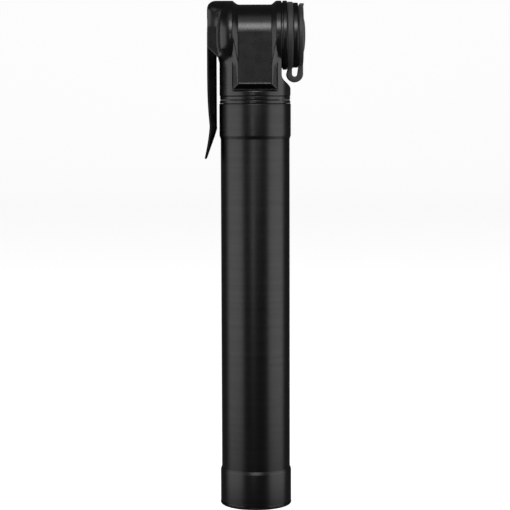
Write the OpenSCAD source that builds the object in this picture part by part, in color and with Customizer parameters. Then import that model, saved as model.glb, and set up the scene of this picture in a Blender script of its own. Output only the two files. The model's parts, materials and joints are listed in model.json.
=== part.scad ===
// Mini bicycle pump: a telescoping barrel with a side-entry chuck head and a lock lever.
// +Z runs up the barrel from the flat end plug. +X points out of the valve port.
// The origin is the centre of the end plug's flat bottom face. All sizes are in millimetres.

/* [Barrel] */
// Outside diameter of the barrel tube
barrel_d = 25.4; // [25.2:0.1:25.6]
// Wall thickness of the barrel tube
barrel_wall = 1.2; // [1:0.1:1.4]
// Height of the barrel's top edge above the base
barrel_top = 149.3; // [146:0.1:156]
// Outside diameter of the collar and of the foot sleeve
collar_d = 26.3; // [26:0.1:26.6]
// Length of the collar at the barrel's top
collar_len = 12.9; // [10:0.1:16]
// Length of the sleeve at the barrel's foot
sleeve_len = 12.8; // [10:0.1:16]
// Thickness of the end plug's flange
plug_flange = 1.3; // [1.2:0.1:1.8]

/* [Pump inside] */
// Outside diameter of the inner barrel
inner_d = 18; // [17.6:0.1:18.2]
// Wall thickness of the inner barrel
inner_wall = 1; // [0.8:0.1:1.1]
// Diameter of the hollow piston rod
rod_d = 8; // [7.6:0.1:8.2]
// Bore of the piston rod
rod_bore = 4.8; // [4:0.1:5]

/* [Head] */
// Diameter of the head's neck
neck_d = 26.1; // [25.9:0.1:26.3]
// Diameter of the cross barrel at the top of the head
cross_d = 25.2; // [25:0.1:25.4]
// Height of the cross barrel's axis above the barrel's top edge
cross_rise = 24.9; // [24.5:0.1:25.5]
// Half width of the lever block where it leaves the cross barrel
block_half = 9; // [8.6:0.1:9.4]
// Half width of the lever block at its free end
block_end = 6.4; // [6.2:0.1:6.8]
// Width of the lock lever
lever_w = 9; // [8:0.1:9.2]
// Eccentricity of the lever's cam
cam_throw = 1.5; // [1.3:0.1:1.5]

/* [Valve port] */
// Bore of the rubber gland, which grips a 6 mm valve stem
gland_bore = 5.9; // [5.6:0.1:5.9]
// Entry hole in the end of the nut
entry_d = 8.4; // [8:0.1:9]

/* [Hidden] */
$fn = 96;
cut = 0.5;             // overrun of a cutting solid past the face that it cuts
run_gap = 0.05;        // radial clearance of a running fit
seal_gap = 0.02;       // radial clearance of an O-ring on the surface it slides on
ring_r = 0.79;         // radius of an O-ring's section
groove = 1.6;          // depth of an O-ring groove
groove_w = 1.7;        // width of an O-ring groove
slide_gap = 0.06;      // radial clearance of the two pistons in their bores
piston_land = 3.4;     // from the foot of a piston to its groove
spigot_land = 1.8;     // from the top of the spigot to the groove for the rod's seal
plunger_land = 1.2;    // from the back of the plunger to its groove

black = "#1b1b1d";
anodised = "#26272a";
rubber = "#2c2c2e";
seal_black = "#101010";
steel = "#b9bcc0";
acetal = "#e4e2da";

// Radii of the barrel and of what slides in it
tube_r = barrel_d / 2;
tube_in = tube_r - barrel_wall;
inner_r = inner_d / 2;
inner_in = inner_r - inner_wall;
rod_r = rod_d / 2;
collar_r = collar_d / 2;
neck_r = neck_d / 2;
cross_r = cross_d / 2;

piston_r = inner_in - slide_gap;
charge_r = tube_in - slide_gap;

// Heights up the barrel, with the pump closed
foot_z = plug_flange + 0.1;
rod_foot = 4;
plug_groove = 5.2;
plug_top = 11;
bumper_top = 13;
charge_z = 13.6;
charge_top = charge_z + 8;
spigot_top = charge_top + 5.4;
bush_z = barrel_top - 11.8;
wiper_z = bush_z + 6;
wiper_h = 2.4;
wiper_t = 1.4;
flange_z = barrel_top + 0.05;
flange_top = barrel_top + 1.15;
land_r = 11.4;         // radius of the land on the bush that the head's ring turns on
ring_z = barrel_top + 1.3;
neck_z = barrel_top + 2.65;
socket_top = barrel_top + 9.5;
inner_top = socket_top - 0.9;
seat_top = socket_top + 1.5;
seat_r = 7;
chamber_top = seat_top + 3.7;
chamber_r = 4.5;
cross_z = barrel_top + cross_rise;
head_top = cross_z + cross_r;
piston_top = inner_top - 0.9;
piston_z = piston_top - 8.5;
rod_top = piston_top - 4;

// Places along the cross barrel, from the lever's end to the nut
block_x = -17.4;
shoulder_x = -8.6;
shoulder_len = 4.9;    // length of the shoulder's curve along the cross barrel
shoulder_drop = 4.6;   // and its height
pivot_x = -12.35;
cam_r = 3.6;
cam_off = cam_throw * sin(45);
stem_x = pivot_x - cam_off + cam_r + 0.08;
stem_r = 3.5;
slot_back = -7.4;
bore_back = -6;
bore_r = 8.6;
plunger_x = -5.8;
plunger_end = -1.8;
nose_end = 6.8;
nose_r = 6.2;
port_x = 1.9;
thread_x = 4;
washer_end = 7.4;
gland_x = 7.5;
gland_end = 13.9;
gland_r = 7;
cross_end = 9.7;
nut_x = 10.1;
waist_x = 11.75;
lip_x = 13.95;
nut_end = 15.75;
nut_r = 12.6;
waist_r = 10.4;
lip_r = 11.85;
pin_r = 1.25;
pin_foot = 6.4;        // reach of the pin into the ear that hides its end
pin_head = 7.6;        // reach of the pin into the ear that it is pressed in through

// Flat panels on the front and back of the head
panel_in = 6.1;        // half width of the flat face
panel_out = 8;         // half width at the foot of the bevels
panel_foot = 9.7;      // half depth at the foot of the bevels
panel_low = 12.3;      // half depth of the face at its lower edge
panel_z = neck_z + 2.45;
panel_bevel = 1.8;
recess = 8.15;         // half width of the recess that the panel stands in
ledge = 0.5;           // chamfer on the neck's edge below the panel
saddle_r = 11.2;

// Lever arm
arm_out = -17.5;
arm_in = -14.1;
arm_bend = 141;
arm_tip = 129.1;

// Rubber cap, its ring and its strap
loop_x = 14.54;
loop_z = cross_z - 14.1;
loop_out = 3.1;
loop_in = 0.98;
strap_w = 5.5;
strap_gap = 0.02;      // parting between the strap's ends and the ring and the cap
cap_ring_r = 12.2;
cap_x = 15.85;
cap_face = 17.7;
cap_r = 11.1;
dome_r = 6.4;
plug_r = entry_d / 2 - 0.2;

function arc(cx, cy, rx, ry, a0, a1, n) =
    [for (i = [0:n]) let (a = a0 + (a1 - a0) * i / n) [cx + rx * cos(a), cy + ry * sin(a)]];

function bezier(p, n) =
    [for (i = [0:n]) let (t = i / n, u = 1 - t)
        u * u * u * p[0] + 3 * u * u * t * p[1] + 3 * u * t * t * p[2] + t * t * t * p[3]];

// A groove for an O-ring, as part of a turned outline: from a wall down to a floor and back
function ring_groove(wall, floor_r, z) =
    [[wall, z], [floor_r, z], [floor_r, z + groove_w], [wall, z + groove_w]];

// A turned part: points are [radius, height]
module turned(points) rotate_extrude() polygon(points);

// A plain tube standing from z0 to z1
module tube(r_out, r_in, z0, z1) turned([[r_in, z0], [r_out, z0], [r_out, z1], [r_in, z1]]);

// An O-ring that lies at height z, its section centred at radius mid
module o_ring(mid, z)
    translate([0, 0, z]) rotate_extrude() translate([mid, 0]) circle(r = ring_r, $fn = 32);

// Turns +Z to +X, on the cross barrel's axis
module on_cross() translate([0, 0, cross_z]) rotate([0, 90, 0]) children();

// Extrudes an outline in X and Z to a half width along Y
module across(half)
    translate([0, half, 0]) rotate([90, 0, 0]) linear_extrude(height = 2 * half) children();

// ---- Barrel: it stands still while the head is drawn up ----

module barrel_tube() color(anodised) tube(tube_r, tube_in, foot_z, barrel_top);

module barrel_collar() color(anodised)
    turned([[tube_r, barrel_top - collar_len], [tube_r + 0.05, barrel_top - collar_len],
        [collar_r, barrel_top - collar_len + 1.2], [collar_r, barrel_top - 0.9],
        [collar_r - 0.3, barrel_top], [tube_r, barrel_top]]);

module end_sleeve() color(anodised)
    turned([[tube_r, foot_z], [collar_r, foot_z], [collar_r, foot_z + sleeve_len - 1.1],
        [tube_r + 0.05, foot_z + sleeve_len], [tube_r, foot_z + sleeve_len]]);

module end_plug() color(black)
    turned(concat([[0, 0]], arc(collar_r - 0.9, 0.9, 1, 0.9, -90, 0, 8),
        [[collar_r + 0.1, plug_flange - 0.1], [collar_r, plug_flange], [tube_r, plug_flange],
            [tube_r, foot_z], [tube_in, foot_z]],
        ring_groove(tube_in, tube_in - groove, plug_groove),
        [[tube_in, plug_top], [rod_r, plug_top], [rod_r, rod_foot], [0, rod_foot]]));

module plug_seal() color(seal_black) o_ring(tube_in - groove / 2, plug_groove + groove_w / 2);

module end_bumper() color(rubber) tube(9.4, rod_r + 0.1, plug_top, bumper_top);

module guide_bush() color(black)
    difference() {
        turned([[inner_r + run_gap, bush_z], [tube_in - 0.4, bush_z], [tube_in, bush_z + 0.6],
            [tube_in, flange_z], [collar_r - 0.15, flange_z], [collar_r - 0.7, flange_top],
            [land_r, flange_top], [land_r, ring_z - 0.03], [inner_r + run_gap, ring_z - 0.03]]);
        tube(inner_r + wiper_t, inner_r - 1, wiper_z, wiper_z + wiper_h);
    }

module wiper_ring() color("#5a5a5a")
    tube(inner_r + wiper_t - 0.03, inner_r + 0.03, wiper_z + 0.05, wiper_z + wiper_h - 0.05);

// The cross hole lets air from the outer chamber into the hollow rod
module piston_rod() color(steel)
    difference() {
        tube(rod_r, rod_bore / 2, rod_foot, rod_top);
        translate([-rod_r - cut, 0, bumper_top + 1.2]) rotate([0, 90, 0])
            cylinder(r = 1, h = rod_d + 2 * cut, $fn = 32);
    }

module piston() color(acetal)
    difference() {
        turned(concat([[rod_r, piston_z], [piston_r, piston_z]],
            ring_groove(piston_r, inner_in - groove, piston_z + piston_land),
            [[piston_r, piston_top - 0.4], [piston_r - 0.4, piston_top], [0, piston_top],
                [0, rod_top], [rod_r, rod_top]]));
        translate([0, 0, rod_top - cut]) cylinder(r = 0.8, h = 6, $fn = 32);
        for (a = [0:90:270]) rotate(a)
            translate([2.1, 0, rod_top - cut]) cylinder(r = 0.6, h = 6, $fn = 32);
    }

module piston_seal() color(seal_black)
    o_ring(inner_in - seal_gap - ring_r, piston_z + piston_land + groove_w / 2);

module umbrella_valve() color("#8c2f26")
    turned([[0, rod_top - 0.9], [1.1, rod_top - 0.6], [1.1, rod_top - 0.1], [0.8, rod_top],
        [0.8, piston_top], [3.3, piston_top], [3.4, piston_top + 0.25], [1, piston_top + 0.65],
        [0, piston_top + 0.65]]);

// ---- Inner barrel and head: they slide together ----

module charge_piston() color(acetal)
    turned(concat([[rod_r + run_gap, charge_z], [charge_r - 0.4, charge_z], [charge_r, charge_z + 0.4]],
        ring_groove(charge_r, tube_in - groove, charge_z + piston_land),
        [[charge_r, charge_top], [inner_in, charge_top], [inner_in, spigot_top],
            [rod_r + run_gap, spigot_top], [rod_r + run_gap, spigot_top - spigot_land],
            [rod_r + groove, spigot_top - spigot_land],
            [rod_r + groove, spigot_top - spigot_land - groove_w],
            [rod_r + run_gap, spigot_top - spigot_land - groove_w]]));

module charge_seal() color(seal_black)
    o_ring(tube_in - seal_gap - ring_r, charge_z + piston_land + groove_w / 2);

module rod_seal() color(seal_black)
    o_ring(rod_r + seal_gap + ring_r, spigot_top - spigot_land - groove_w / 2);

module top_bumper() color(rubber) tube(tube_in - 0.3, inner_r, charge_top, charge_top + 2.4);

module inner_barrel() color("#c9ccd0") tube(inner_r, inner_in, charge_top, inner_top);

module barrel_gasket() color(seal_black) tube(inner_r, 5.5, inner_top, socket_top);

module valve_seat() color(acetal) tube(seat_r, 1.5, socket_top, seat_top);

module check_poppet() color("#8c2f26")
    turned([[0, seat_top + 0.02], [2.6, seat_top + 0.02], [2.6, seat_top + 1], [1, seat_top + 1],
        [1, seat_top + 2.2], [0, seat_top + 2.2]]);

// A coil of wire: an eight-sided section swept along a helix
module check_spring() {
    turns = 3.5;
    wire = 0.2;
    mid = 1.5;
    low = seat_top + 1.05 + wire;
    rise = chamber_top - 0.02 - wire - low;
    steps = 56;
    sides = 8;
    points = [for (i = [0:steps]) for (k = [0:sides - 1])
        let (a = 360 * turns * i / steps, b = 360 * k / sides, r = mid + wire * cos(b))
            [r * cos(a), r * sin(a), low + rise * i / steps + wire * sin(b)]];
    walls = [for (i = [0:steps - 1]) for (k = [0:sides - 1])
        let (a = i * sides + k, b = i * sides + (k + 1) % sides) [a, a + sides, b + sides, b]];
    ends = [[for (k = [0:sides - 1]) k], [for (k = [0:sides - 1]) steps * sides + sides - 1 - k]];
    color(steel) polyhedron(points, concat(walls, ends));
}

module neck_ring() color(black)
    turned([[inner_r, ring_z], [collar_r - 0.7, ring_z], [collar_r - 0.25, ring_z + 0.45],
        [collar_r - 0.25, neck_z - 0.15], [collar_r - 0.4, neck_z], [inner_r, neck_z]]);

// The cross barrel, with a rounded shoulder at the lever's end
module cross_barrel()
    on_cross() turned(concat([[0, shoulder_x - shoulder_len]],
        arc(cross_r - shoulder_drop, shoulder_x, shoulder_drop, shoulder_len, -90, 0, 10),
        [[cross_r, cross_end], [0, cross_end]]));

// The block that carries the ears, as the overlap of its front, end and top outlines
module lever_block()
    intersection() {
        across(block_half)
            polygon(concat([[shoulder_x, head_top]],
                arc(block_x + 3.3, head_top - 3.3, 3.3, 3.3, 90, 180, 8),
                [[block_x, cross_z - 4.4], [-12.6, cross_z - 9], [shoulder_x, cross_z - 9]]));
        translate([block_x - cut, 0, head_top - block_half]) rotate([90, 0, 90])
            linear_extrude(height = 20) union() {
                circle(r = block_half);
                translate([-block_half, -30]) square([2 * block_half, 30]);
            }
        translate([0, 0, cross_z - 20]) linear_extrude(height = 40)
            polygon([[block_x, -block_end], [shoulder_x, -block_half], [shoulder_x, block_half],
                [block_x, block_end]]);
    }

// The round neck, cut away under the nut
module neck()
    difference() {
        turned([[0, neck_z], [neck_r - 0.15, neck_z], [neck_r, neck_z + 0.15],
            [neck_r, cross_z - 5], [0, cross_z - 5]]);
        across(20) polygon(concat([[30, neck_z + 3.1]],
            bezier([[neck_r, neck_z + 3.1], [neck_r - 0.9, neck_z + 5],
                [cross_end + 0.1, neck_z + 5.6], [cross_end, neck_z + 7.6]], 8),
            [[cross_end, cross_z], [30, cross_z]]));
    }

// Cut in the front and back for the panels, with a chamfer on the neck's edge below them
module panel_recess() {
    low = panel_z - 0.15;
    translate([-recess, -20, low]) cube([2 * recess, 40, 60]);
    intersection() {
        translate([-recess, -20, low - 2]) cube([2 * recess, 40, 2 + cut]);
        turned([[neck_r - ledge - 0.1, low + 0.1], [neck_r + 1, low + 0.1],
            [neck_r + 1, low - ledge - 1]]);
    }
}

// The panels' faces lean out a little from the saddle down to their lower edge
module panel_box()
    hull() {
        translate([-panel_in, 0, 0]) rotate([90, 0, 90])
            linear_extrude(height = 2 * panel_in)
                polygon([[-saddle_r, cross_z], [-panel_low, panel_z + panel_bevel],
                    [panel_low, panel_z + panel_bevel], [saddle_r, cross_z]]);
        translate([-panel_out, -panel_foot, panel_z])
            cube([2 * panel_out, 2 * panel_foot, cross_z - panel_z]);
    }

// The waist of the cross barrel between its two flanges
module saddle()
    on_cross() turned([[0, -recess], [cross_r, -recess], [11.6, -6.9], [saddle_r, -panel_in],
        [saddle_r, panel_in], [cross_r, 7.7], [cross_r, recess], [0, recess]]);

module lever_slot() {
    half = lever_w / 2 + 0.15;
    translate([block_x - 1, -half, cross_z - 3.8]) cube([slot_back - block_x + 1, 2 * half, 9.5]);
    translate([block_x - 1, -half, cross_z - 14]) cube([arm_in + 0.2 - block_x + 1, 2 * half, 12]);
}

module head_housing() color(black)
    difference() {
        union() {
            difference() {
                union() {
                    cross_barrel();
                    neck();
                    lever_block();
                }
                panel_recess();
            }
            panel_box();
            saddle();
        }
        lever_slot();
        translate([pivot_x, block_half + cut, cross_z]) rotate([90, 0, 0])
            cylinder(r = pin_r, h = block_half + cut + pin_foot);
        on_cross() translate([0, 0, bore_back]) cylinder(r = bore_r, h = 30);
        on_cross() translate([0, 0, slot_back - cut]) cylinder(r = stem_r + run_gap, h = 3);
        translate([0, 0, neck_z - cut]) cylinder(r = inner_r, h = socket_top - neck_z + cut);
        translate([0, 0, socket_top - cut]) cylinder(r = seat_r, h = seat_top - socket_top + cut);
        translate([0, 0, seat_top - cut]) cylinder(r = chamber_r, h = chamber_top - seat_top + cut);
        translate([port_x, 0, chamber_top - cut]) cylinder(r = 1.4, h = 4);
    }

// ---- Lever and clamp ----

module lever_pin() color(steel)
    translate([pivot_x, pin_head, cross_z]) rotate([90, 0, 0])
        cylinder(r = pin_r, h = pin_head + pin_foot);

// The cam is a circle set off up and to the left of the pivot, so a quarter turn moves the
// plunger by twice cam_off; the arm hangs from it and flares at its tip
module lock_lever() color("#0a0a0b") {
    cam_x = pivot_x - cam_off;
    cam_z = cross_z + cam_off;
    difference() {
        across(lever_w / 2) union() {
            translate([cam_x, cam_z]) circle(r = cam_r);
            polygon(concat([[cam_x, cam_z], [cam_x + cam_r * cos(150), cam_z + cam_r * sin(150)],
                [arm_out, cam_z + 0.12]],
                bezier([[arm_out, arm_bend + 18], [arm_out, arm_bend + 8], [-17, arm_bend + 4],
                    [-16.66, arm_bend]], 6),
                bezier([[-16.72, arm_bend - 0.8], [-17.1, arm_bend - 5], [-17.9, arm_bend - 9],
                    [-18.6, arm_tip]], 6),
                [[-17.9, arm_tip - 0.1]],
                bezier([[-17.2, arm_tip + 1.8], [-16.2, arm_bend - 7], [-14.9, arm_bend - 4],
                    [arm_in + 0.1, arm_bend - 0.7]], 6),
                [[arm_in, arm_bend], [arm_in, cross_z - 1.6]]));
        }
        translate([pivot_x, 20, cross_z]) rotate([90, 0, 0]) cylinder(r = pin_r + run_gap, h = 40);
    }
}

// Its stem rides on the cam and its nose pushes the gland; the pin inside opens a valve's core
module plunger() color(acetal)
    difference() {
        on_cross() turned(concat([[0, stem_x], [stem_r, stem_x], [stem_r, plunger_x],
                [bore_r - run_gap, plunger_x]],
            ring_groove(bore_r - run_gap, bore_r - groove, plunger_x + plunger_land),
            [[bore_r - run_gap, plunger_end], [nose_r, plunger_end], [nose_r, nose_end],
                [2.8, nose_end], [2.8, 0], [0.8, 0], [0.8, nose_end - 1.5], [0, nose_end - 1.5]]));
        translate([1.4, 0, cross_z - nose_r - cut]) cylinder(r = 0.9, h = 5, $fn = 32);
    }

module plunger_seal() color(seal_black)
    on_cross() o_ring(bore_r - seal_gap - ring_r, plunger_x + plunger_land + groove_w / 2);

module gland_washer() color(steel) on_cross() tube(gland_r - 0.1, 3.2, nose_end, washer_end);

module valve_gland() color(rubber) on_cross() tube(gland_r, gland_bore / 2, gland_x, gland_end);

module nut_seal() color(seal_black) on_cross() tube(12, bore_r, cross_end, nut_x);

module chuck_nut() color("#0e0e10")
    on_cross() turned([[gland_r + 0.05, thread_x], [bore_r, thread_x], [bore_r, nut_x],
        [nut_r - 0.3, nut_x], [nut_r, nut_x + 0.3], [nut_r, waist_x - 0.3], [nut_r - 0.3, waist_x],
        [waist_r, waist_x], [waist_r, lip_x], [lip_r - 0.3, lip_x], [lip_r, lip_x + 0.3],
        [lip_r, nut_end - 0.4], [lip_r - 0.4, nut_end], [entry_d / 2 + 0.6, nut_end],
        [entry_d / 2, nut_end - 0.6], [entry_d / 2, gland_end], [gland_r + 0.05, gland_end]]);

// ---- Rubber cap ----

module cap_ring() color(rubber)
    on_cross() turned([[waist_r, waist_x + 0.05], [cap_ring_r - 0.3, waist_x + 0.05],
        [cap_ring_r, waist_x + 0.35], [cap_ring_r, lip_x - 0.35], [cap_ring_r - 0.3, lip_x - 0.05],
        [waist_r, lip_x - 0.05]]);

// The loop of rubber that joins the ring to the cap: it bends as the cap opens
module cap_strap() color(rubber)
    difference() {
        across(strap_w / 2)
            polygon(concat(arc(loop_x, loop_z, loop_out, loop_out, 180, 360, 24),
                [[loop_x + loop_out, loop_z + 5], [cap_x, loop_z + 5], [cap_x, loop_z + 1.8]],
                arc(loop_x, loop_z, loop_in, loop_in, 360, 180, 16),
                [[loop_x - loop_in, loop_z + 5], [waist_x + 0.1, loop_z + 5],
                    [waist_x + 0.1, loop_z + 1.2]]));
        on_cross() translate([0, 0, nut_x]) cylinder(r = cap_ring_r + strap_gap, h = loop_x - nut_x);
        on_cross() translate([0, 0, loop_x]) cylinder(r = cap_r + strap_gap, h = 10);
    }

module dust_cap() color(rubber) {
    on_cross() turned(concat([[0, nut_end - 1.4], [plug_r - 0.2, nut_end - 1.4],
        [plug_r, nut_end - 1.2], [plug_r, cap_x], [cap_r - 0.3, cap_x], [cap_r, cap_x + 0.3],
        [cap_r, cap_face - 0.4], [cap_r - 0.4, cap_face], [dome_r + 0.8, cap_face]],
        [for (i = [0:8]) let (a = 90 * i / 8) [dome_r * cos(a), cap_face + 0.8 * sin(a)]]));
    across(2.6) polygon([[cap_x + 0.4, cross_z + cap_r - 0.4], [cap_face, cross_z + cap_r - 0.8],
        [cap_face + 0.25, cross_z + cap_r + 0.2], [cap_face + 0.1, cross_z + cap_r + 0.45],
        [cap_x + 0.4, cross_z + cap_r + 0.45]]);
}

barrel_tube();
barrel_collar();
end_sleeve();
end_plug();
plug_seal();
end_bumper();
guide_bush();
wiper_ring();
piston_rod();
piston();
piston_seal();
umbrella_valve();
charge_piston();
charge_seal();
rod_seal();
top_bumper();
inner_barrel();
barrel_gasket();
valve_seat();
check_poppet();
check_spring();
neck_ring();
head_housing();
lever_pin();
lock_lever();
plunger();
plunger_seal();
gland_washer();
valve_gland();
nut_seal();
chuck_nut();
cap_ring();
cap_strap();
dust_cap();
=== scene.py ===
import json
import math

import bmesh
import bpy
from mathutils import Euler, Matrix, Vector


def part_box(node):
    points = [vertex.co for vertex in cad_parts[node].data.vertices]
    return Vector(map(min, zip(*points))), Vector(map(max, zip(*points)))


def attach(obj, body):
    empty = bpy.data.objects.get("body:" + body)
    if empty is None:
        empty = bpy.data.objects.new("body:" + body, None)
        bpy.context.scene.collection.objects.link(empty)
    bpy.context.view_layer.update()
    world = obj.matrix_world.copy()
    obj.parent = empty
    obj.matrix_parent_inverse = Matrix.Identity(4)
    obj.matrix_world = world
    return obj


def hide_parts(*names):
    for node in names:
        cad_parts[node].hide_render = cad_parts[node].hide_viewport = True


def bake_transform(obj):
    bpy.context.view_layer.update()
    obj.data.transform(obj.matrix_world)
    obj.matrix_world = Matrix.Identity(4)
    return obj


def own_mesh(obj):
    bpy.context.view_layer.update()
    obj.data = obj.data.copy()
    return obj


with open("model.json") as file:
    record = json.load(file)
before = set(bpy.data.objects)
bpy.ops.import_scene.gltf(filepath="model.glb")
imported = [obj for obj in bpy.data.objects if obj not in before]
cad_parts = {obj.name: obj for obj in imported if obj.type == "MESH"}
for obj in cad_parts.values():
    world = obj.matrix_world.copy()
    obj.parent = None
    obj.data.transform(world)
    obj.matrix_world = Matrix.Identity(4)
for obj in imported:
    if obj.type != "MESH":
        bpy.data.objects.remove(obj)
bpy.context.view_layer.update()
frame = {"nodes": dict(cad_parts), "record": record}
mm = 0.001
print("frame loaded:", len(frame["nodes"]), "nodes")


def newObject(name, data):
    # Puts a mesh, a light or a camera in the scene
    obj = bpy.data.objects.new(name, data)
    bpy.context.scene.collection.objects.link(obj)
    return obj


def toMesh(bm, name):
    # Closes an edit mesh into a named mesh
    mesh = bpy.data.meshes.new(name)
    bm.to_mesh(mesh)
    bm.free()
    return mesh


def ofKind(parts, kind):
    # The vertices, the edges or the faces among what an operator returns
    return [part for part in parts if isinstance(part, kind)]


camera = {
    "place": (-0.17, -640, 150.9),
    "pitchDown": 5.14,
    "roll": -0.15,
    "lens": 122.3,
    "sensor": 36,
    "clip": (0.01, 20),
}


def makeCamera(settings):
    data = bpy.data.cameras.new("camera")
    data.lens = settings["lens"]
    data.sensor_width = settings["sensor"]
    data.clip_start, data.clip_end = settings["clip"]
    cam = newObject("camera", data)
    turn = Euler((math.radians(90 - settings["pitchDown"]), 0, 0)).to_matrix()
    roll = Matrix.Rotation(math.radians(settings["roll"]), 3, "Z")
    cam.rotation_euler = (turn @ roll).to_euler()
    cam.location = Vector(settings["place"]) * mm
    bpy.context.scene.camera = cam


makeCamera(camera)
bpy.context.scene.view_settings.view_transform = "Standard"
print("camera set")


def srgb(hexText):
    # A six-figure sRGB colour as the linear value that the shader takes
    parts = [int(hexText[i : i + 2], 16) / 255 for i in (1, 3, 5)]
    linear = [p / 12.92 if p <= 0.04045 else ((p + 0.055) / 1.055) ** 2.4 for p in parts]
    return (*linear, 1)


def addNode(tree, kind, settings=None, links=None):
    # One node, its fields and sockets set, and its inputs linked
    node = tree.nodes.new(kind)
    for name, value in (settings or {}).items():
        if isinstance(name, int) or name in node.inputs:
            node.inputs[name].default_value = value
        else:
            setattr(node, name, value)
    for name, source in (links or {}).items():
        tree.links.new(source, node.inputs[name])
    return node


def newMaterial(name):
    material = bpy.data.materials.new(name)
    material.use_nodes = True
    material.node_tree.nodes.clear()
    return material, material.node_tree


asRings = (0.02, 0.02, 1)  # lines a pattern up in slightly broken rings round the Z axis
asDrawMarks = (1, 1, 0.03)  # lines it up along the Z axis
noiseLow = 0.25  # nearly all of a noise pattern lies between these two
noiseHigh = 0.75

# One finish for each slot. A pattern's size and a relief's depth are in millimetres, and colour, rough and
# relief each name the pattern that they follow.
finishes = {
    # Aluminium 6063, fine turned and dyed black: fine rings that stretch each light along the tube.
    # The real feed is near 0.1 mm; the rings are drawn at 0.35 mm so that they show.
    "anodised": {
        "name": "blackAnodisedTurned",
        "patterns": {
            "lines": {"size": 0.35, "detail": 3.0, "roughness": 0.6, "stretch": asRings},
            "broad": {"size": 2.2, "detail": 3.0, "roughness": 0.6, "stretch": asRings},
        },
        "shader": {"Metallic": 1.0, "Anisotropic": 0.35, "Anisotropic Rotation": 0.25},
        "colour": ("broad", "#313131", "#3c3c3c"),
        "rough": ("lines", 0.29, 0.41),
        "relief": [("broad", 0.006), ("lines", 0.006)],
        "tangent": "Z",
    },
    # Glass-filled nylon from a spark-eroded mould: a fine even grain that leaves a satin sheen
    "housing": {
        "name": "mouldedNylon",
        "patterns": {"fine": {"size": 0.16, "detail": 2.0}, "cloud": {"size": 4.0, "detail": 3.0}},
        "shader": {"IOR": 1.53, "Specular IOR Level": 0.37},
        "colour": ("cloud", "#0a0a0a", "#0e0e0e"),
        "rough": ("cloud", 0.25, 0.31),
        "relief": [("fine", 0.0035)],
    },
    # Nylon from a polished mould: nearly smooth, with the faint waviness of a moulded face
    "lever": {
        "name": "polishedMouldNylon",
        "patterns": {"wave": {"size": 1.6, "detail": 2.0}, "cloud": {"size": 3.0, "detail": 3.0}},
        "shader": {"IOR": 1.53, "Specular IOR Level": 0.06, "Base Color": srgb("#010101")},
        "rough": ("cloud", 0.08, 0.17),
        "relief": [("wave", 0.002)],
    },
    # Nylon from a mould with a duller polish: broad, soft highlights
    "nut": {
        "name": "semiGlossNylon",
        "patterns": {"wave": {"size": 1.6, "detail": 2.0}, "cloud": {"size": 3.0, "detail": 3.0}},
        "shader": {"IOR": 1.53, "Specular IOR Level": 0.35, "Base Color": srgb("#09090a")},
        "rough": ("cloud", 0.26, 0.35),
        "relief": [("wave", 0.002)],
    },
    # EPDM rubber, compression moulded: matte and slightly grey with bloom, with a fine pebbled skin
    "rubber": {
        "name": "mouldedRubber",
        "patterns": {"bloom": {"size": 2.5, "detail": 4.0}, "pebble": {"size": 0.22, "detail": 2.0}},
        "shader": {"IOR": 1.52, "Sheen Weight": 0.12, "Sheen Roughness": 0.5},
        "colour": ("bloom", "#232324", "#2c2c2d"),
        "rough": ("bloom", 0.5, 0.62),
        "relief": [("pebble", 0.006)],
    },
    # Nitrile rubber wiped with silicone grease: black, with soft wet highlights
    "seal": {
        "name": "nitrileSeal",
        "patterns": {"smear": {"size": 1.2, "detail": 2.0}},
        "shader": {"IOR": 1.5, "Coat Weight": 0.3, "Coat Roughness": 0.2},
        "colour": ("smear", "#0d0d0d", "#151515"),
        "rough": ("smear", 0.38, 0.55),
        "relief": [("smear", 0.01)],
    },
    # Red silicone, moulded: soft and a little cloudy
    "silicone": {
        "name": "siliconeRubber",
        "patterns": {"cloud": {"size": 1.5, "detail": 2.0}, "skin": {"size": 0.2, "detail": 2.0}},
        "shader": {"IOR": 1.43},
        "colour": ("cloud", "#8a2a20", "#a03529"),
        "rough": ("cloud", 0.4, 0.5),
        "relief": [("skin", 0.004)],
    },
    # Grey wool felt: tangled fibres about 0.1 mm across, drawn at 0.3 mm so that they show
    "felt": {
        "name": "pressedFelt",
        "patterns": {"fibre": {"size": 0.3, "detail": 6.0}},
        "shader": {"Roughness": 0.95, "Sheen Weight": 0.5, "Sheen Roughness": 0.4},
        "colour": ("fibre", "#3a3a3a", "#767470"),
        "relief": [("fibre", 0.06)],
    },
    # White acetal, turned from bar: waxy, with faint tool rings 0.2 mm apart, drawn at 0.4 mm
    "acetal": {
        "name": "turnedAcetal",
        "patterns": {"lines": {"size": 0.4, "detail": 3.0, "roughness": 0.6, "stretch": asRings}},
        "shader": {"IOR": 1.48, "Subsurface Weight": 0.05, "Subsurface Scale": 0.001},
        "colour": ("lines", "#dcdad0", "#e8e6de"),
        "rough": ("lines", 0.32, 0.46),
        "relief": [("lines", 0.004)],
    },
    # Stainless steel, centreless ground: a cool grey, with grit marks finer than the 0.3 mm drawn here
    "steel": {
        "name": "groundSteel",
        "patterns": {"lines": {"size": 0.3, "detail": 3.0, "roughness": 0.6, "stretch": asRings}},
        "shader": {"Metallic": 1.0, "Anisotropic": 0.4},
        "colour": ("lines", "#a9abae", "#bcbec1"),
        "rough": ("lines", 0.2, 0.34),
        "relief": [("lines", 0.003)],
    },
    # Drawn aluminium tube, polished for the sliding fit: bright, with draw marks and a film of grease
    "polished": {
        "name": "polishedAluminium",
        "patterns": {
            "draw": {"size": 0.5, "detail": 3.0, "stretch": asDrawMarks},
            "film": {"size": 9.0, "detail": 4.0},
        },
        "shader": {"Metallic": 1.0},
        "colour": ("film", "#c2c4c7", "#d2d3d5"),
        "rough": ("film", 0.12, 0.26),
        "relief": [("draw", 0.0015)],
    },
}


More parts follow.
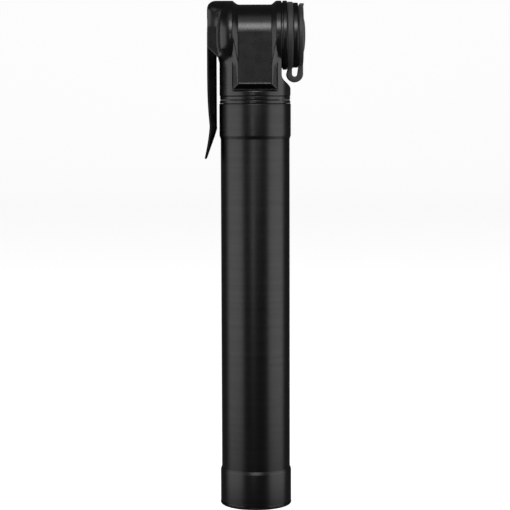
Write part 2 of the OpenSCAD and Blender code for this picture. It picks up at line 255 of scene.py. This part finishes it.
def makeFinish(finish):
    # Noise on object coordinates moves the colour, the roughness and the relief between their two values
    material, tree = newMaterial(finish["name"])
    where = addNode(tree, "ShaderNodeTexCoord").outputs["Object"]
    patterns = {}
    for key, noise in finish["patterns"].items():
        place = where
        if "stretch" in noise:
            settings = {"operation": "MULTIPLY", 1: noise["stretch"]}
            place = addNode(tree, "ShaderNodeVectorMath", settings, {0: where}).outputs["Vector"]
        settings = {
            "Scale": 1 / (noise["size"] * mm),
            "Detail": noise["detail"],
            "Roughness": noise.get("roughness", 0.5),
        }
        patterns[key] = addNode(tree, "ShaderNodeTexNoise", settings, {"Vector": place}).outputs["Fac"]
    links = {}
    if "colour" in finish:
        key, dark, light = finish["colour"]
        settings = {"data_type": "RGBA", 6: srgb(dark), 7: srgb(light)}
        links["Base Color"] = addNode(tree, "ShaderNodeMix", settings, {0: patterns[key]}).outputs[2]
    if "rough" in finish:
        key, low, high = finish["rough"]
        settings = {"From Min": noiseLow, "From Max": noiseHigh, "To Min": low, "To Max": high}
        spread = addNode(tree, "ShaderNodeMapRange", settings, {"Value": patterns[key]})
        links["Roughness"] = spread.outputs["Result"]
    for key, depth in finish["relief"]:
        under = {"Normal": links["Normal"]} if "Normal" in links else {}
        settings = {"Strength": 1.0, "Distance": depth * mm}
        relief = addNode(tree, "ShaderNodeBump", settings, {"Height": patterns[key], **under})
        links["Normal"] = relief.outputs["Normal"]
    if "tangent" in finish:
        settings = {"direction_type": "RADIAL", "axis": finish["tangent"]}
        links["Tangent"] = addNode(tree, "ShaderNodeTangent", settings).outputs["Tangent"]
    shader = addNode(tree, "ShaderNodeBsdfPrincipled", finish["shader"], links)
    addNode(tree, "ShaderNodeOutputMaterial", None, {"Surface": shader.outputs["BSDF"]})
    return material


slotMaterials = {slot: makeFinish(finish) for slot, finish in finishes.items()}
slotOf = {entry["node"]: entry["material_slot"] for entry in frame["record"]["subparts"]}
bodyOf = {node: body for body, nodes in frame["record"]["behaviour"]["bodies"].items() for node in nodes}

for nodeName, nodeObject in frame["nodes"].items():
    nodeObject.data.materials.clear()
    nodeObject.data.materials.append(slotMaterials[slotOf[nodeName]])
print("materials made:", len(slotMaterials))


crossZ = sum(corner.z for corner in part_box("chuck_nut")) / 2  # height of the cross barrel's axis, in metres
crossHeight = crossZ / mm
mergeGap = 0.001  # vertices closer than this, in millimetres, are one


def lowOf(node):
    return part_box(node)[0] / mm


def highOf(node):
    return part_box(node)[1] / mm


def addPiece(name, mesh, node, smoothAngle=35, rides=True):
    # Stands for a CAD node: it rides on the same body and takes its finish from the same slot
    for polygon in mesh.polygons:
        polygon.use_smooth = True
    mesh.set_sharp_from_angle(angle=math.radians(smoothAngle))
    mesh.materials.clear()
    mesh.materials.append(slotMaterials[slotOf[node]])
    piece = newObject(name, mesh)
    if rides:
        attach(piece, bodyOf[node])
    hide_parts(node)
    return piece


def roundCorners(bm, corners, radius):
    # Rounds the corners of an outline or a section before it is spun, by a radius in millimetres
    bmesh.ops.bevel(
        bm,
        geom=corners,
        offset=radius * mm,
        offset_type="OFFSET",
        segments=4,
        profile=0.5,
        affect="VERTICES",
        material=-1,
    )


def turned(name, node, outline, across=False, steps=144):
    # Spins an outline of (radius, height, corner rounding) round the barrel, or round the cross barrel
    bm = bmesh.new()
    corners = []
    for radius, height, rounding in outline:
        place = (height, 0, crossHeight + radius) if across else (radius, 0, height)
        corners.append((bm.verts.new(Vector(place) * mm), radius, rounding))
    bm.faces.new([corner for corner, radius, rounding in corners])
    onAxis = [corner for corner, radius, rounding in corners if radius == 0]
    axisEdges = [e for e in bm.edges if e.verts[0] in onAxis and e.verts[1] in onAxis]
    for corner, radius, rounding in corners:
        if rounding > 0:
            roundCorners(bm, [corner], rounding)
    bmesh.ops.delete(bm, geom=bm.faces[:], context="FACES_ONLY")
    bmesh.ops.delete(bm, geom=axisEdges, context="EDGES")
    bmesh.ops.spin(
        bm,
        geom=bm.verts[:] + bm.edges[:],
        cent=(0, 0, crossZ if across else 0),
        axis=(1, 0, 0) if across else (0, 0, 1),
        angle=2 * math.pi,
        steps=steps,
        use_merge=True,
    )
    bmesh.ops.remove_doubles(bm, verts=bm.verts, dist=mergeGap * mm)
    bmesh.ops.recalc_face_normals(bm, faces=bm.faces)
    return addPiece(name, toMesh(bm, name), node)


def baked(obj, name):
    # The mesh that an object's modifiers give, with the object itself removed
    graph = bpy.context.evaluated_depsgraph_get()
    mesh = bpy.data.meshes.new_from_object(obj.evaluated_get(graph))
    mesh.name = name
    bpy.data.objects.remove(obj)
    return mesh


def inside(vert, low, high):
    # Whether a vertex lies between two corners in millimetres, on either side of the pump
    return all(a * mm < c < b * mm for a, c, b in zip(low, (vert.co.x, abs(vert.co.y), vert.co.z), high))


def relax(obj, passes, region=None):
    # Rounds every edge and crease, or only those between a region's two corners
    smooth = obj.modifiers.new("relax", "SMOOTH")
    smooth.factor = 0.5
    smooth.iterations = passes
    if region:
        group = obj.vertex_groups.new(name="relax")
        group.add([v.index for v in obj.data.vertices if inside(v, *region)], 1, "REPLACE")
        smooth.vertex_group = group.name


def raiseLip(mesh, lip):
    # Lifts a narrow band of the flat faces, front and back, where the mould leaves a faint lip
    bm = bmesh.new()
    bm.from_mesh(mesh)
    for side in (-1, 1):
        band = [v for v in bm.verts if v.co.y * side > 0 and inside(v, lip["low"], lip["high"])]
        bmesh.ops.translate(bm, verts=band, vec=(0, side * lip["proud"] * mm, 0))
    bm.to_mesh(mesh)
    bm.free()


def moulded(name, node, settings, fill=None):
    # A copy of a CAD node with the softened edges of a moulding: remeshed, relaxed, then thinned
    bm = bmesh.new()
    bm.from_mesh(frame["nodes"][node].data)
    bmesh.ops.remove_doubles(bm, verts=bm.verts, dist=mergeGap * mm)
    if fill:
        fill(bm)
    obj = newObject(name, toMesh(bm, name))
    remesh = obj.modifiers.new("remesh", "REMESH")
    remesh.mode = "VOXEL"
    remesh.voxel_size = settings["voxel"] * mm
    relax(obj, settings["passes"])
    mesh = baked(obj, name)
    if "lip" in settings:
        raiseLip(mesh, settings["lip"])
    obj = newObject(name, mesh)
    for low, high, passes in settings.get("soften", []):
        relax(obj, passes, (low, high))
    if "keep" in settings:
        thin = obj.modifiers.new("thin", "DECIMATE")
        thin.ratio = settings["keep"]
    mesh = baked(obj, name)
    mesh.calc_loop_triangles()
    print(name, len(mesh.loop_triangles), "triangles")
    return addPiece(name, mesh, node, smoothAngle=180)


tubeR = highOf("barrel_tube").x
tubeFoot = lowOf("barrel_tube").z
tubeTop = highOf("barrel_tube").z
collarR = highOf("barrel_collar").x
innerR = highOf("inner_barrel").x
ringInto = 0.05  # how far the outer rings reach into the tube's wall
tube = {"wall": 1.2, "edge": 0.15}
tubeInner = tubeR - tube["wall"]
turned(
    "barrelTube",
    "barrel_tube",
    [
        (tubeInner, tubeFoot, tube["edge"]),
        (tubeR, tubeFoot, tube["edge"]),
        (tubeR, tubeTop, tube["edge"]),
        (tubeInner, tubeTop, tube["edge"]),
    ],
)

collar = {"lowerBevel": 1.2, "chamfer": 0.2, "edge": 0.1}
collarFoot = lowOf("barrel_collar").z
turned(
    "barrelCollar",
    "barrel_collar",
    [
        (tubeR - ringInto, collarFoot, 0),
        (tubeR + ringInto, collarFoot, 0),
        (collarR, collarFoot + collar["lowerBevel"], collar["edge"]),
        (collarR, tubeTop - collar["chamfer"], collar["edge"]),
        (collarR - collar["chamfer"], tubeTop, collar["edge"]),
        (tubeR - ringInto, tubeTop, 0),
    ],
)

sleeve = {"bevel": 1.1, "edge": 0.12}
sleeveTop = highOf("end_sleeve").z
turned(
    "endSleeve",
    "end_sleeve",
    [
        (tubeR - ringInto, tubeFoot, 0),
        (collarR, tubeFoot, sleeve["edge"]),
        (collarR, sleeveTop - sleeve["bevel"], sleeve["edge"]),
        (tubeR + ringInto, sleeveTop, 0),
        (tubeR - ringInto, sleeveTop, 0),
    ],
)
print("barrel made")


plug = {
    "round": 0.8,
    "flangeGap": 0.1,
    "groove": 0.4,
    "grooveDeep": 0.6,
    "lipEdge": 0.12,
    "bore": 4.0,
    "boreFoot": 4.0,
    "edge": 0.2,
}
plugR = highOf("end_plug").x
plugTop = highOf("end_plug").z
flangeTop = tubeFoot - plug["flangeGap"]
turned(
    "endPlug",
    "end_plug",
    [
        (0, 0, 0),
        (plugR, 0, plug["round"]),
        (plugR, flangeTop - plug["groove"], plug["lipEdge"]),
        (plugR - plug["grooveDeep"], flangeTop - plug["groove"], 0),
        (plugR - plug["grooveDeep"], flangeTop, 0),
        (tubeInner, flangeTop, 0),
        (tubeInner, plugTop, plug["edge"]),
        (plug["bore"], plugTop, plug["edge"]),
        (plug["bore"], plug["boreFoot"], 0),
        (0, plug["boreFoot"], 0),
    ],
)

bush = {
    "gap": 0.05,
    "flangeUp": 0.05,
    "flangeTop": 1.15,
    "inset": 0.15,
    "land": 0.42,
    "edge": 0.1,
    "round": 0.22,
    "footRound": 0.4,
}
bushR = innerR + bush["gap"]
bushFoot = lowOf("guide_bush").z
bushTop = highOf("guide_bush").z
turned(
    "guideBush",
    "guide_bush",
    [
        (bushR, bushFoot, bush["edge"]),
        (tubeInner, bushFoot, bush["footRound"]),
        (tubeInner, tubeTop + bush["flangeUp"], 0),
        (collarR - bush["inset"], tubeTop + bush["flangeUp"], bush["edge"]),
        (collarR - bush["inset"], tubeTop + bush["flangeTop"], bush["round"]),
        (collarR - bush["land"], tubeTop + bush["flangeTop"], 0),
        (collarR - bush["land"], bushTop, 0),
        (bushR, bushTop, bush["edge"]),
    ],
)

ring = {"inset": 0.25, "chamfer": 0.2, "footEdge": 0.08, "chamferEdge": 0.1, "topEdge": 0.15}
ringR = collarR - ring["inset"]
ringLow = lowOf("neck_ring").z
ringTop = highOf("neck_ring").z
turned(
    "neckRing",
    "neck_ring",
    [
        (innerR, ringLow, 0),
        (ringR - ring["chamfer"], ringLow, ring["footEdge"]),
        (ringR, ringLow + ring["chamfer"], ring["chamferEdge"]),
        (ringR, ringTop, ring["topEdge"]),
        (innerR, ringTop, 0),
    ],
)

innerBarrel = {"wall": 1.0, "edge": 0.15}
innerFoot = lowOf("inner_barrel").z
innerTop = highOf("inner_barrel").z
turned(
    "innerBarrel",
    "inner_barrel",
    [
        (innerR - innerBarrel["wall"], innerFoot, innerBarrel["edge"]),
        (innerR, innerFoot, innerBarrel["edge"]),
        (innerR, innerTop, innerBarrel["edge"]),
        (innerR - innerBarrel["wall"], innerTop, innerBarrel["edge"]),
    ],
)
print("plug, bush, ring and inner barrel made")


faceRise = 4.25  # from the neck ring up to the lower edge of the flat faces
faceFoot = ringTop + faceRise
housing = {
    "voxel": 0.18,
    "passes": 8,
    "keep": 0.5,
    "faceHalf": 6.1,  # half width of the flat faces
    "faceDeep": 11.2,  # their depth at the cross barrel's axis, and at their foot
    "faceLow": 12.3,
    "sideHalf": 8.1,  # half width over the bevels beside them
    "sideDeep": 12.5,  # depth of the bevels' outer edges at the axis, and at the foot of the wedges
    "sideLow": 9.75,
    "back": 9.2,  # the wedges reach back to here and down to fillLow
    "fillLow": 163.5,
    "lip": {"low": (-5.9, 11, faceFoot - 0.1), "high": (5.9, 13, faceFoot + 0.45), "proud": 0.08},
    "soften": [
        ((-6.2, 11, faceFoot - 0.4), (6.2, 13, faceFoot + 1.4), 3),  # edge of the lip
        ((-17.6, 4.9, 177), (-13.2, 9, 187.5), 300),  # top of the lever's block
        ((-8.0, 9.2, crossHeight - 2), (8.0, 13.5, crossHeight + 1), 8),  # top of the wedges
        ((-8.0, 9.2, 162.5), (8.0, 13.5, 164.5), 12),  # foot of the wedges
        ((-13.2, 4.5, 157.5), (-8.4, 13, 169), 500),  # neck, on the lever's side
        ((8.4, 5, 159), (9.5, 13, 168.5), 200),  # neck, on the nut's side
        ((-8.1, 10.5, 153.2), (8.1, 13.2, 154.6), 6),  # ledge under the flat faces
    ],
}


def fillBands(bm):
    # Joins the cross barrel's flares to the bevels beside the flat faces with four slowly twisting wedges
    drop = crossHeight - housing["fillLow"]
    lean = (housing["faceLow"] - housing["faceDeep"]) / (crossHeight - faceFoot)
    levels = [
        (crossHeight, housing["faceDeep"], housing["sideDeep"]),
        (housing["fillLow"], housing["faceDeep"] + lean * drop, housing["sideLow"]),
    ]
    for side in (-1, 1):
        for face in (-1, 1):
            wedge = []
            for level, inner, outer in levels:
                for x, y in [
                    (housing["faceHalf"], housing["back"]),
                    (housing["faceHalf"], inner),
                    (housing["sideHalf"], outer),
                    (housing["sideHalf"], housing["back"]),
                ]:
                    wedge.append(bm.verts.new(Vector((side * x, face * y, level)) * mm))
            bmesh.ops.convex_hull(bm, input=wedge)


moulded("headHousing", "head_housing", housing, fillBands)

lever = {"voxel": 0.2, "passes": 6}
moulded("lockLever", "lock_lever", lever)

cap = {"voxel": 0.17, "passes": 5}
moulded("dustCap", "dust_cap", cap)
print("housing, lever and cap made")


def halfHeight(node):
    # Radius of a node that is turned about the cross barrel
    return (highOf(node).z - lowOf(node).z) / 2


nut = {
    "bore": 7.05,
    "spigot": 8.6,
    "face": 10.1,
    "waist": 10.4,
    "lip": 11.85,
    "entry": 4.2,
    "gap": 0.05,  # between the waist's walls and the cap's ring
    "edge": 0.3,
    "boreEdge": 0.2,
    "lipEdge": 0.4,
    "entryEdge": 0.5,
}
nutLow = lowOf("chuck_nut").x
nutEnd = highOf("chuck_nut").x
nutR = halfHeight("chuck_nut")
glandFace = lowOf("valve_gland").x
glandBack = highOf("valve_gland").x
ringFace = lowOf("cap_ring").x
ringBack = highOf("cap_ring").x
turned(
    "chuckNut",
    "chuck_nut",
    [
        (nut["bore"], nutLow, nut["boreEdge"]),
        (nut["spigot"], nutLow, nut["edge"]),
        (nut["spigot"], nut["face"], 0),
        (nutR, nut["face"], nut["edge"]),
        (nutR, ringFace - nut["gap"], nut["edge"]),
        (nut["waist"], ringFace - nut["gap"], 0),
        (nut["waist"], ringBack + nut["gap"], 0),
        (nut["lip"], ringBack + nut["gap"], nut["edge"]),
        (nut["lip"], nutEnd, nut["lipEdge"]),
        (nut["entry"], nutEnd, nut["entryEdge"]),
        (nut["entry"], glandBack, 0),
        (nut["bore"], glandBack, 0),
    ],
    across=True,
)

nutSeal = {"edge": 0.1}
sealR = halfHeight("nut_seal")
sealFace = lowOf("nut_seal").x
sealBack = highOf("nut_seal").x
turned(
    "nutSeal",
    "nut_seal",
    [
        (nut["spigot"], sealFace, 0),
        (sealR, sealFace, nutSeal["edge"]),
        (sealR, sealBack, nutSeal["edge"]),
        (nut["spigot"], sealBack, 0),
    ],
    across=True,
)

capRing = {"edge": 0.35}
capRingR = halfHeight("cap_ring")
turned(
    "capRing",
    "cap_ring",
    [
        (nut["waist"], ringFace, 0),
        (capRingR, ringFace, capRing["edge"]),
        (capRingR, ringBack, capRing["edge"]),
        (nut["waist"], ringBack, 0),
    ],
    across=True,
)


def squeeze(piece):
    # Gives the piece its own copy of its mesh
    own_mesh(piece)


gland = {
    "bore": 2.95,
    "edge": 0.35,
    "grooves": 3,
    "grooveDeep": 0.35,
    "grooveWide": 0.7,
    "grooveEdge": 0.1,
}
glandR = halfHeight("valve_gland")
glandPitch = (glandBack - glandFace) / (gland["grooves"] + 1)
glandBore = [(gland["bore"], glandBack, gland["edge"])]
for turn in range(gland["grooves"], 0, -1):
    middle = glandFace + turn * glandPitch
    half = gland["grooveWide"] / 2
    glandBore += [
        (gland["bore"], middle + half, gland["grooveEdge"]),
        (gland["bore"] + gland["grooveDeep"], middle, 0),
        (gland["bore"], middle - half, gland["grooveEdge"]),
    ]
glandBore.append((gland["bore"], glandFace, gland["edge"]))
valveGland = turned(
    "valveGland",
    "valve_gland",
    glandBore + [(glandR, glandFace, gland["edge"]), (glandR, glandBack, gland["edge"])],
    across=True,
)
squeeze(valveGland)

spring = {"wire": 0.2, "turns": 3.5, "steps": 84, "sides": 12}
springLow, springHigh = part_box("check_spring")
wireR = spring["wire"] * mm
coilR = springHigh.x - wireR
rise = springHigh.z - springLow.z - 2 * wireR
bm = bmesh.new()
bmesh.ops.create_circle(
    bm,
    cap_ends=True,
    segments=spring["sides"],
    radius=wireR,
    matrix=Matrix.Translation((coilR, 0, springLow.z + wireR)) @ Matrix.Rotation(math.pi / 2, 4, "X"),
)
bmesh.ops.spin(
    bm,
    geom=bm.faces[:],
    cent=(0, 0, 0),
    axis=(0, 0, 1),
    dvec=(0, 0, rise / spring["steps"]),
    angle=2 * math.pi * spring["turns"],
    steps=spring["steps"],
)
bmesh.ops.recalc_face_normals(bm, faces=bm.faces)
checkSpring = addPiece("checkSpring", toMesh(bm, "checkSpring"), "check_spring", smoothAngle=60)
squeeze(checkSpring)
print("nut, seals, gland and spring made")


# The strap is a U of rubber in two halves that meet at its lowest point
strap = {
    "thick": 2.12,
    "round": 0.45,
    "steps": 18,  # round each quarter of the U
    "into": 0.05,  # how far its leg reaches into the ring
    "legLow": 1.3,  # heights above the U's centre where the ring's leg has its last two corners
    "legTop": 2.4,
    "capEdge": 1.5,  # from the cap's inner face to the outside of its leg
    "capRise": 1.1,  # the cap's leg is longer by this
}


def strapHalf(name, side, legEdge, legTops):
    # side is -1 for the half on the ring and 1 for the half on the cap
    low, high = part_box("cap_strap")
    outer = (high.x - low.x) / 2
    inner = outer - strap["thick"] * mm
    halfWide = (high.y - low.y) / 2
    bm = bmesh.new()
    corners = [(-halfWide, outer), (halfWide, outer), (halfWide, inner), (-halfWide, inner)]
    section = [bm.verts.new(loopCentre + Vector((0, y, -reach))) for y, reach in corners]
    bm.faces.new(section)
    roundCorners(bm, section, strap["round"])
    turn = bmesh.ops.spin(
        bm,
        geom=bm.faces[:],
        cent=loopCentre,
        axis=(0, -side, 0),
        angle=math.pi / 2,
        steps=strap["steps"],
    )
    end = ofKind(turn["geom_last"], bmesh.types.BMFace)
    # The leg goes straight up, drawn in on the side where the nut is
    for top in legTops:
        grown = bmesh.ops.extrude_face_region(bm, geom=end)["geom"]
        bmesh.ops.delete(bm, geom=end, context="FACES_ONLY")
        end = ofKind(grown, bmesh.types.BMFace)
        tip = ofKind(grown, bmesh.types.BMVert)
        bmesh.ops.translate(bm, verts=tip, vec=(0, 0, top - max(v.co.z for v in tip)))
        outside = max(v.co.x for v in tip)
        scale = (outside - legEdge * mm) / (outside - min(v.co.x for v in tip))
        bmesh.ops.scale(bm, verts=tip, vec=(scale, 1, 1), space=Matrix.Translation((-outside, 0, 0)))
    bmesh.ops.recalc_face_normals(bm, faces=bm.faces)
    return addPiece(name, toMesh(bm, name), "cap_strap", smoothAngle=40, rides=False)


strapLow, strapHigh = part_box("cap_strap")
loopOuter = (strapHigh.x - strapLow.x) / 2
loopCentre = Vector(((strapHigh.x + strapLow.x) / 2, 0, strapLow.z + loopOuter))
ringLegTops = [loopCentre.z + strap[place] * mm for place in ("legLow", "legTop")]
capLegTops = [top + strap["capRise"] * mm for top in ringLegTops]
strapRing = strapHalf("strapRingHalf", -1, ringFace + strap["into"], ringLegTops)
strapCap = strapHalf("strapCapHalf", 1, lowOf("dust_cap").x + strap["capEdge"], capLegTops)
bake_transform(strapRing)
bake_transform(strapCap)
print("strap made")


paper = {
    "depth": 3.0,
    "width": 6.0,
    "front": -1.2,
    "height": 2.5,
    "bend": 0.8,
    "bendSteps": 24,
    "colour": "#c8c8c8",
    "glow": 0.9,
}


def whiteToCamera(tree):
    # White with a soft shadow where the camera looks, and clear to the lights, so that it lights nothing
    seen = addNode(tree, "ShaderNodeLightPath").outputs["Is Camera Ray"]
    clear = addNode(tree, "ShaderNodeBsdfTransparent").outputs["BSDF"]
    matte = addNode(tree, "ShaderNodeBsdfDiffuse", {"Color": srgb(paper["colour"])}).outputs["BSDF"]
    settings = {"Color": srgb("#ffffff"), "Strength": paper["glow"]}
    glow = addNode(tree, "ShaderNodeEmission", settings).outputs["Emission"]
    bright = addNode(tree, "ShaderNodeAddShader", None, {0: matte, 1: glow}).outputs["Shader"]
    return addNode(tree, "ShaderNodeMixShader", None, {0: seen, 1: clear, 2: bright}).outputs["Shader"]


def makeSweep():
    # A sheet of paper that lies under the pump and curves up behind it
    material, tree = newMaterial("paperSweep")
    addNode(tree, "ShaderNodeOutputMaterial", None, {"Surface": whiteToCamera(tree)})
    bm = bmesh.new()
    half = paper["width"] / 2
    row = [bm.verts.new((x, paper["front"], 0)) for x in (-half, half)]
    flat = bmesh.ops.extrude_edge_only(bm, edges=[bm.edges.new(row)])["geom"]
    ends = ofKind(flat, bmesh.types.BMVert)
    bmesh.ops.translate(bm, verts=ends, vec=(0, paper["depth"], 0))
    bend = bmesh.ops.spin(
        bm,
        geom=ends + ofKind(flat, bmesh.types.BMEdge),
        cent=(0, paper["front"] + paper["depth"], paper["bend"]),
        axis=(1, 0, 0),
        angle=math.pi / 2,
        steps=paper["bendSteps"],
    )
    top = ofKind(bend["geom_last"], bmesh.types.BMEdge)
    wall = bmesh.ops.extrude_edge_only(bm, edges=top)["geom"]
    bmesh.ops.translate(bm, verts=ofKind(wall, bmesh.types.BMVert), vec=(0, 0, paper["height"]))
    mesh = toMesh(bm, "sweep")
    mesh.materials.append(material)
    for polygon in mesh.polygons:
        polygon.use_smooth = True
    newObject("sweep", mesh)


aimHeight = 0.13  # the softboxes face this point on the pump's axis, in metres
softboxes = [
    {"name": "left", "azimuth": -73, "elevation": 0, "distance": 0.75, "size": (0.9, 0.76), "power": 4.2},
    {"name": "right", "azimuth": 74, "elevation": 0, "distance": 0.75, "size": (0.88, 0.76), "power": 4.4},
    {"name": "top", "azimuth": 0, "elevation": 35, "distance": 0.9, "size": (0.45, 0.32), "power": 4.4},
    {"name": "ceiling", "azimuth": 0, "elevation": 62, "distance": 0.9, "size": (0.6, 0.35), "power": 0.55},
    {"name": "front", "azimuth": -8, "elevation": 0, "distance": 1.4, "size": (0.18, 0.16), "power": 0.7},
]


def makeSoftbox(settings):
    # Azimuth is turned from the camera's side towards +X
    data = bpy.data.lights.new(settings["name"], "AREA")
    data.shape = "RECTANGLE"
    data.size, data.size_y = settings["size"]
    data.energy = settings["power"]
    light = newObject(settings["name"], data)
    turn = math.radians(settings["azimuth"])
    lift = math.radians(settings["elevation"])
    away = Vector((math.sin(turn) * math.cos(lift), -math.cos(turn) * math.cos(lift), math.sin(lift)))
    light.location = Vector((0, 0, aimHeight)) + away * settings["distance"]
    light.rotation_euler = away.to_track_quat("Z", "Y").to_euler()


surround = {"dark": "#424242", "pale": "#fcfcfc"}


def makeWorld():
    # Pale where the camera sees past the paper, and nearly dark for the rest
    world = bpy.data.worlds.new("studio")
    world.use_nodes = True
    tree = world.node_tree
    tree.nodes.clear()
    seen = addNode(tree, "ShaderNodeLightPath").outputs["Is Camera Ray"]
    settings = {"data_type": "RGBA", 6: srgb(surround["dark"]), 7: srgb(surround["pale"])}
    colour = addNode(tree, "ShaderNodeMix", settings, {0: seen}).outputs[2]
    background = addNode(tree, "ShaderNodeBackground", {"Strength": 1.0}, {"Color": colour})
    addNode(tree, "ShaderNodeOutputWorld", None, {"Surface": background.outputs["Background"]})
    bpy.context.scene.world = world


makeSweep()
for box in softboxes:
    makeSoftbox(box)
makeWorld()
print("stage made")
